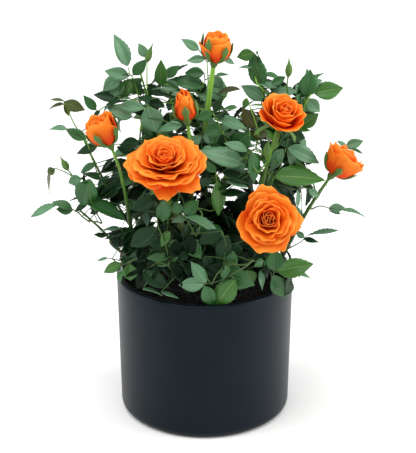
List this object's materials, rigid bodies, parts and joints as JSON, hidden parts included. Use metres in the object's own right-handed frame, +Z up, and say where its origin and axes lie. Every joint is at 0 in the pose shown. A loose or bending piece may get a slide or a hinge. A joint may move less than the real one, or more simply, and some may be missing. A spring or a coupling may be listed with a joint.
{
  "type": "potted miniature rose bush",
  "caption": "Miniature rose bush with orange double blooms and dark green leaves, growing in a straight-sided stoneware cover pot with a rounded foot.",
  "frame": {"origin": "centre of the pot's flat underside", "axes": "+Z up, -Y towards the side that the open roses face, +X to the right seen from that side"},
  "size_m": [0.264, 0.202, 0.313],
  "materials": {
    "pot": "satin dark slate glaze",
    "compost": "moist dark peat compost",
    "cane": "smooth green bark with small prickles",
    "petal": "soft velvety petal",
    "leaf": "semi-gloss leaf with a paler underside"
  },
  "bodies": {
    "root": {"pot": "pot", "compost": "compost", "cane_front_left": "cane", "cane_front_right": "cane", "cane_upper_right": "cane", "cane_top": "cane", "cane_centre_bud": "cane", "cane_left": "cane", "cane_right": "cane", "cane_far_left": "cane", "cane_left_top": "cane", "cane_top_left": "cane", "cane_right_top": "cane", "cane_back_left": "cane", "cane_back_right": "cane", "cane_back_top": "cane", "rose_front_left": "petal", "rose_front_right": "petal", "rose_upper_right": "petal", "rose_top": "petal", "rose_centre_bud": "petal", "rose_left": "petal", "rose_right": "petal", "leaves_top_left": "leaf", "leaves_collar_top": "leaf", "leaves_behind_right_rose": "leaf", "leaves_far_right": "leaf", "leaves_far_right_low": "leaf", "leaves_far_left": "leaf", "leaves_left_drop": "leaf", "leaves_left_top": "leaf", "leaves_left_mid": "leaf", "leaves_rim_left": "leaf", "leaves_front": "leaf", "leaves_low_right": "leaf", "leaves_right_top": "leaf", "leaves_upper_right": "leaf", "leaves_top_gap": "leaf", "leaves_upper_left": "leaf", "leaves_top_centre": "leaf", "leaves_centre_left": "leaf", "leaves_right_shoulder": "leaf", "leaves_left": "leaf", "leaves_low_left": "leaf", "leaves_centre": "leaf", "leaves_heart": "leaf", "leaves_low_mid_right": "leaf", "leaves_low_centre": "leaf", "leaves_low_heart": "leaf", "leaves_back_low_left": "leaf", "leaves_back_low_right": "leaf", "leaves_back_left": "leaf", "leaves_back_right": "leaf", "leaves_back_top": "leaf"}
  },
  "joints": []
}
